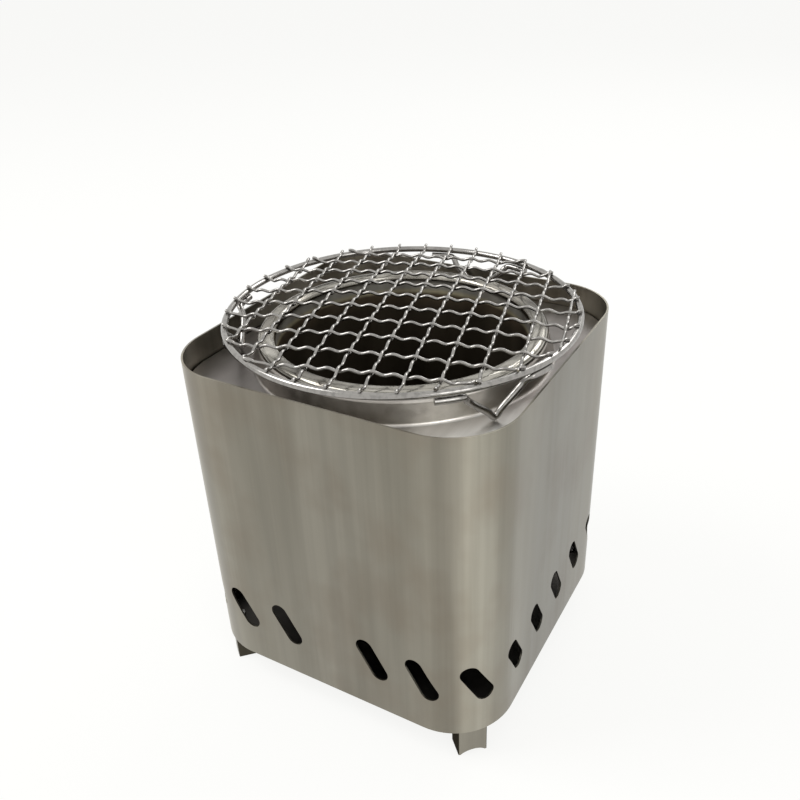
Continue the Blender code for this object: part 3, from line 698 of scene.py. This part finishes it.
def build_drum():
    roll = DRUM_LIP_ROLL
    crest = DRUM_HIGH.z
    profile = arc(DRUM_RADIUS + DRUM_LIP_WIDTH - roll, crest - roll, roll, 0, 90)
    profile += arc(DRUM_RADIUS + roll, crest - roll, roll, 90, 180)
    profile.append((DRUM_RADIUS, DRUM_LOW.z + DRUM_SHEET * 2))
    profile += arc(DRUM_RADIUS - DRUM_SHEET, DRUM_LOW.z + DRUM_SHEET * 2, DRUM_SHEET, 0, -90, 3)
    profile.append((DRUM_RADIUS - DRUM_HEM, DRUM_LOW.z + DRUM_SHEET))
    drum = turned("fire_drum_sheet", profile)
    thicken(drum, DRUM_SHEET)
    face_outwards(drum)
    middle = DRUM_RADIUS + DRUM_SHEET / 2
    half_step = math.pi / DRUM_STEPS
    floor_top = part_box("drum_floor")[1].z
    holes = ring_places(LOWER_HOLES, middle, floor_top + LOWER_HOLE_LIFT, True, half_step)
    cut_with(drum, bar_of_holes(holes, LOWER_HOLE_RADIUS, DRUM_SHEET * 8))
    smooth(drum)
    finish_piece(drum, "casing", DRUM_STEEL, "fire_drum")


def disc(name, low, high, steps=128):
    deselect_all()
    bpy.ops.mesh.primitive_cylinder_add(vertices=steps, radius=high.x, depth=high.z - low.z,
                                        location=(0, 0, (low.z + high.z) / 2))
    piece = take(name)
    apply_place(piece)
    return piece


def build_drum_floor():
    low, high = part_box("drum_floor")
    floor = disc("drum_floor_disc", low, high)
    holes = ring_places(FLOOR_HOLES, DRUM_RADIUS - FLOOR_HOLE_INSET, low.z, False)
    cut_with(floor, bar_of_holes(holes, FLOOR_HOLE_RADIUS, DRUM_SHEET * 8))
    round_edges(floor)
    smooth(floor)
    even_flats(floor)
    finish_piece(floor, "casing", GRATE_STEEL, "drum_floor")


def build_ash_pan():
    low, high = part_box("ash_pan")
    bead = (PAN_BEAD + PAN_SHEET) / 2
    corner = PAN_CORNER - PAN_SHEET
    radius = high.x - 2 * bead
    profile = arc(radius + bead, high.z - bead, bead, -60, 180)
    profile += arc(radius - corner, low.z + PAN_CORNER, corner, 0, -90)
    pan = turned("ash_pan_dish", profile, 128, close_end=True)
    thicken(pan, PAN_SHEET)
    face_outwards(pan)
    smooth(pan)
    finish_piece(pan, "ash_pan", INNER_STEEL, "ash_pan")


def build_grate():
    low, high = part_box("fire_grate")
    grate = disc("fire_grate_disc", low, high)
    places = [Matrix.Translation((0, 0, low.z))]
    for ring in range(1, GRATE_HOLE_RINGS + 1):
        places += ring_places(6 * ring, ring * GRATE_HOLE_PITCH, low.z, False)
    cut_with(grate, bar_of_holes(places, GRATE_HOLE_RADIUS, GRATE_SHEET * 6))
    round_edges(grate)
    smooth(grate)
    even_flats(grate)
    finish_piece(grate, "fire_grate", GRATE_STEEL, "fire_grate")


# Feet and base

def build_base_tray():
    low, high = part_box("base_tray")
    tray = box("base_tray_sheet", low, high)
    edit(tray)
    choose(tray, "EDGE", is_upright)
    bpy.ops.mesh.bevel(offset=INNER_CORNER_RADIUS, segments=20, affect="EDGES")
    choose(tray, "FACE", lambda face: face.normal.z > 0.5)
    bpy.ops.mesh.delete(type="ONLY_FACE")
    leave_edit()
    thicken(tray, BASE_SHEET)
    round_edges(tray)
    smooth(tray)
    even_flats(tray)
    finish_piece(tray, "casing", INNER_STEEL, "base_tray")


def build_foot(name, angle):
    """A slice of a round corner, hollowed to a folded sheet, with an arch between its two toes."""
    low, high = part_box(name)
    deselect_all()
    bpy.ops.mesh.primitive_cylinder_add(vertices=160, radius=INNER_CORNER_RADIUS, depth=high.z,
                                        location=(CORNER_CENTRE, 0, high.z / 2))
    foot = take(name + "_sheet")
    apply_place(foot)
    edit(foot)
    half = FOOT_WIDTH / 2
    for place, normal in (((0, half, 0), (0, 1, 0)), ((0, -half, 0), (0, -1, 0)),
                          ((FOOT_FRONT - FOOT_DEPTH, 0, 0), (-1, 0, 0))):
        bpy.ops.mesh.select_all(action="SELECT")
        bpy.ops.mesh.bisect(plane_co=place, plane_no=normal, clear_outer=True, use_fill=True)
    choose(foot, "FACE", lambda face: face.normal.z < -0.5 or face.normal.x < -0.5)
    bpy.ops.mesh.delete(type="FACE")
    leave_edit()
    thicken(foot, FOOT_SHEET)
    edit(foot)
    front_half = FOOT_FRONT - FOOT_DEPTH / 2
    for side, offset in ((half, FOOT_OUTER_BEND), (half - FOOT_SHEET, FOOT_INNER_BEND)):
        choose(foot, "EDGE", lambda edge: is_upright(edge) and all(
            abs(abs(vert.co.y) - side) < 2 * SAME_LEVEL and vert.co.x > front_half for vert in edge.verts))
        bpy.ops.mesh.bevel(offset=offset, segments=4, affect="EDGES")
    leave_edit()
    span = half - FOOT_ARCH_TOE
    radius = (span * span + FOOT_ARCH_HEIGHT * FOOT_ARCH_HEIGHT) / (2 * FOOT_ARCH_HEIGHT)
    lying = Matrix.Translation((FOOT_FRONT, 0, FOOT_ARCH_HEIGHT - radius))
    lying = lying @ Matrix.Rotation(math.pi / 2, 4, "Y")
    cut_with(foot, bar_of_holes([lying], radius, FOOT_SHEET * 6, 96), check_itself=True)
    round_edges(foot, 0.00012)
    foot.matrix_world = Matrix.Rotation(math.radians(angle), 4, "Z")
    apply_place(foot)
    smooth(foot)
    even_flats(foot)
    finish_piece(foot, "casing", FOOT_STEEL, name)


# Grill

def smoothed(points, rounds=3):
    """Cut the corners of a route again and again, so that its bends are round."""
    for _ in range(rounds):
        softer = [points[0]]
        for start, end in zip(points, points[1:]):
            softer += [start.lerp(end, 0.25), start.lerp(end, 0.75)]
        points = softer + [points[-1]]
    return points


def bent_wire(name, route, radius, resolution=3):
    """A wire along a route, made a closed mesh."""
    deselect_all()
    bpy.ops.curve.primitive_bezier_curve_add()
    wire = take(name)
    wire.data.splines.clear()
    spline = wire.data.splines.new("POLY")
    spline.points.add(len(route) - 1)
    for point, place in zip(spline.points, route):
        point.co = (*place, 1.0)
    wire.data.dimensions = "3D"
    wire.data.bevel_depth = radius
    wire.data.bevel_resolution = resolution
    wire.data.use_fill_caps = True
    make_active(wire)
    bpy.ops.object.convert(target="MESH")
    wire = take(name)
    face_outwards(wire)
    make_active(wire)
    bpy.ops.object.shade_smooth_by_angle(angle=math.radians(50.0))
    return wire


def net_offsets(pitch, offset):
    """Distances of the parallel wires from the middle of the net, each with its number."""
    reach = RIM_RADIUS - NET_MARGIN
    first = math.ceil((-reach - offset) / pitch)
    last = math.floor((reach - offset) / pitch)
    return [(number, offset + number * pitch) for number in range(first, last + 1)]


def net_route(number, distance, pitch, offset, sign):
    """One wire along its own X: domed, with three half waves between crossings, its ends laid on the rim."""
    def at_radius(radius):
        return math.sqrt(radius ** 2 - distance ** 2)

    def height(x):
        dome = NET_DOME * (1 - (x * x + distance * distance) / RIM_RADIUS ** 2)
        place = math.pi * (x - offset) / pitch
        slow = math.cos(place + math.pi * number)
        quick = math.cos(3 * place + math.pi * number)
        return dome + sign * NET_CRIMP * ((1 - QUICK_SHARE) * slow + QUICK_SHARE * quick)

    inside = at_radius(RIM_RADIUS - HOOK_REACH * 1.9)
    steps = round(2 * inside / pitch * NET_STEPS_PER_PITCH)
    wave = [-inside + 2 * inside * step / steps for step in range(steps + 1)]
    body = [(x, height(x)) for x in wave]
    hook = []
    for step in range(6):
        angle = math.radians(150 - 72 * step / 5)
        hook.append((at_radius(RIM_RADIUS + HOOK_REACH * math.cos(angle)), HOOK_REACH * math.sin(angle)))
    route = [(-x, z) for x, z in reversed(hook)] + body + hook
    points = [Vector((x, distance, GRILL_LEVEL + z)) for x, z in route]
    return smoothed(points, 1)


def build_net():
    turn = Matrix.Rotation(NET_TURN, 3, "Z")
    for number, distance in net_offsets(ACROSS_PITCH, ACROSS_OFFSET):
        route = net_route(number, distance, ALONG_PITCH, ALONG_OFFSET, -1)
        wire = bent_wire(f"net_wire_across_{number:+d}".replace("+", "p").replace("-", "m"),
                         [turn @ point for point in route], NET_WIRE_RADIUS)
        finish_piece(wire, "grill", WIRE_STEEL, "wire_net")
    for number, distance in net_offsets(ALONG_PITCH, ALONG_OFFSET):
        route = net_route(number, distance, ACROSS_PITCH, ACROSS_OFFSET, 1)
        wire = bent_wire(f"net_wire_along_{number:+d}".replace("+", "p").replace("-", "m"),
                         [turn @ Vector((point.y, point.x, point.z)) for point in route], NET_WIRE_RADIUS)
        finish_piece(wire, "grill", WIRE_STEEL, "wire_net")


def build_rim():
    """A ring of wire with the small bead of its butt weld."""
    deselect_all()
    bpy.ops.mesh.primitive_torus_add(major_segments=200, minor_segments=20, major_radius=RIM_RADIUS,
                                     minor_radius=RIM_WIRE_RADIUS, location=(0, 0, GRILL_LEVEL))
    rim = take("grill_rim_wire")
    apply_place(rim)
    weld = Vector((math.cos(WELD_AZIMUTH), math.sin(WELD_AZIMUTH), 0)) * RIM_RADIUS
    weld.z = GRILL_LEVEL
    edit(rim)
    choose(rim, "VERT", lambda vert: (vert.co - weld).length < WELD_REACH)
    bpy.ops.transform.resize(value=(WELD_SWELL, WELD_SWELL, WELD_SWELL), center_override=weld)
    leave_edit()
    smooth(rim, 60.0)
    finish_piece(rim, "grill", WIRE_STEEL, "grill_rim")


def leg_route(azimuth):
    """A wire that lies under the rim, drops to the plate in a V and comes up to the rim again."""
    top = LEG_HIGH.z - LEG_WIRE_RADIUS
    tip = LEG_LOW.z + LEG_WIRE_RADIUS
    arm_radius = HALF_SIDE - CASING_SHEET - LEG_WIRE_RADIUS - LEG_CLEARANCE
    tip_radius = arm_radius - LEG_LEAN
    rounding = LEG_TIP_ROUNDING / (top - tip)
    half = [(LEG_HALF_SPAN + LEG_END_SPAN, RIM_RADIUS, 0.0),
            (LEG_HALF_SPAN + LEG_END_SPAN / 2, RIM_RADIUS, 0.0),
            (LEG_HALF_SPAN + LEG_BEND, RIM_RADIUS, 0.0),
            (LEG_HALF_SPAN, (RIM_RADIUS + arm_radius) / 2, rounding * 0.6),
            (LEG_HALF_SPAN - LEG_BEND, arm_radius, rounding * 2.2),
            (LEG_TIP_BEND * 1.6, tip_radius, 1 - rounding * 1.5),
            (LEG_TIP_BEND * 0.8, tip_radius, 1 - rounding * 0.4)]
    stations = [(-turn, radius, share) for turn, radius, share in half] + [(0.0, tip_radius, 1.0)]
    stations += reversed(half)
    route = []
    for turn, radius, share in stations:
        angle = math.radians(azimuth) + turn
        route.append(Vector((radius * math.cos(angle), radius * math.sin(angle), top + (tip - top) * share)))
    return smoothed(route)


def build_grill_legs():
    for name, azimuth in LEG_AZIMUTHS.items():
        leg = bent_wire(name + "_wire", leg_route(azimuth), LEG_WIRE_RADIUS, 5)
        finish_piece(leg, "grill", WIRE_STEEL, name)


# Pieces kept from the frame

def repaint_kept_nodes():
    kept = {"grate_leg_left": GRATE_STEEL, "grate_leg_front": GRATE_STEEL, "grate_leg_back": GRATE_STEEL}
    for foot in FOOT_ANGLES:
        kept[foot + "_rivet_left"] = RIVET_STEEL
        kept[foot + "_rivet_right"] = RIVET_STEEL
    for node, material in kept.items():
        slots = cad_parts[node].material_slots
        for slot in slots:
            slot.material = material


# Camera, light and floor

def place_camera():
    data = bpy.data.cameras.new("camera")
    data.lens = CAMERA_LENS_MM
    data.sensor_width = SENSOR_MM
    data.clip_start = 0.01
    camera = bpy.data.objects.new("camera", data)
    bpy.context.scene.collection.objects.link(camera)
    turn = Matrix.Rotation(CAMERA_AZIMUTH, 4, "Z") @ Matrix.Rotation(math.pi / 2 - CAMERA_ELEVATION, 4, "X")
    camera.matrix_world = Matrix.Translation(CAMERA_PLACE) @ turn @ Matrix.Rotation(CAMERA_ROLL, 4, "Z")
    bpy.context.scene.camera = camera


def seen_directly(nodes, links):
    """1 for camera, glossy and transmission rays, otherwise 0."""
    path = nodes.new("ShaderNodeLightPath")
    total = path.outputs["Is Camera Ray"]
    for name in ("Is Glossy Ray", "Is Transmission Ray"):
        either = nodes.new("ShaderNodeMath")
        either.operation = "MAXIMUM"
        links.new(total, either.inputs[0])
        links.new(path.outputs[name], either.inputs[1])
        total = either.outputs[0]
    return total


def light_world():
    world = bpy.data.worlds.new("studio")
    bpy.context.scene.world = world
    world.use_nodes = True
    nodes, links = world.node_tree.nodes, world.node_tree.links
    background = nodes["Background"]
    background.inputs["Color"].default_value = (*BACKDROP_COLOUR, 1.0)
    strength = nodes.new("ShaderNodeMapRange")
    strength.inputs["To Min"].default_value = WORLD_FILL
    strength.inputs["To Max"].default_value = 1.0
    links.new(seen_directly(nodes, links), strength.inputs["Value"])
    links.new(strength.outputs["Result"], background.inputs["Strength"])


def add_lamp(name, place, size, power):
    data = bpy.data.lights.new(name, "AREA")
    data.shape = "RECTANGLE"
    data.size, data.size_y = size
    data.energy = power
    lamp = bpy.data.objects.new(name, data)
    bpy.context.scene.collection.objects.link(lamp)
    lamp.location = place
    lamp.rotation_euler = (Vector((0, 0, 0.1)) - Vector(place)).to_track_quat("-Z", "Y").to_euler()


def lay_floor():
    deselect_all()
    bpy.ops.mesh.primitive_plane_add(size=FLOOR_SIDE)
    floor = take("studio_floor")
    material, nodes, links, shader = new_material("pale_floor", (0.14, 0.14, 0.137), 0.85, 0.0)
    shader.inputs["Specular IOR Level"].default_value = 0.0
    glow = nodes.new("ShaderNodeMath")
    glow.operation = "MULTIPLY"
    glow.inputs[1].default_value = FLOOR_GLOW
    links.new(seen_directly(nodes, links), glow.inputs[0])
    links.new(glow.outputs[0], shader.inputs["Emission Strength"])
    shader.inputs["Emission Color"].default_value = (1.0, 1.0, 0.985, 1.0)
    floor.data.materials.append(material)


place_camera()
bpy.context.scene.view_settings.view_transform = "Standard"
light_world()
for lamp_name, lamp_place, lamp_size, lamp_power in LAMPS:
    add_lamp(lamp_name, lamp_place, lamp_size, lamp_power)
lay_floor()

build_casing()
build_seam_strip()
build_top_plate()
build_drum()
build_drum_floor()
build_ash_pan()
build_grate()
build_base_tray()
for foot_name, foot_angle in FOOT_ANGLES.items():
    build_foot(foot_name, foot_angle)
build_rim()
build_net()
build_grill_legs()
repaint_kept_nodes()

bpy.context.view_layer.update()
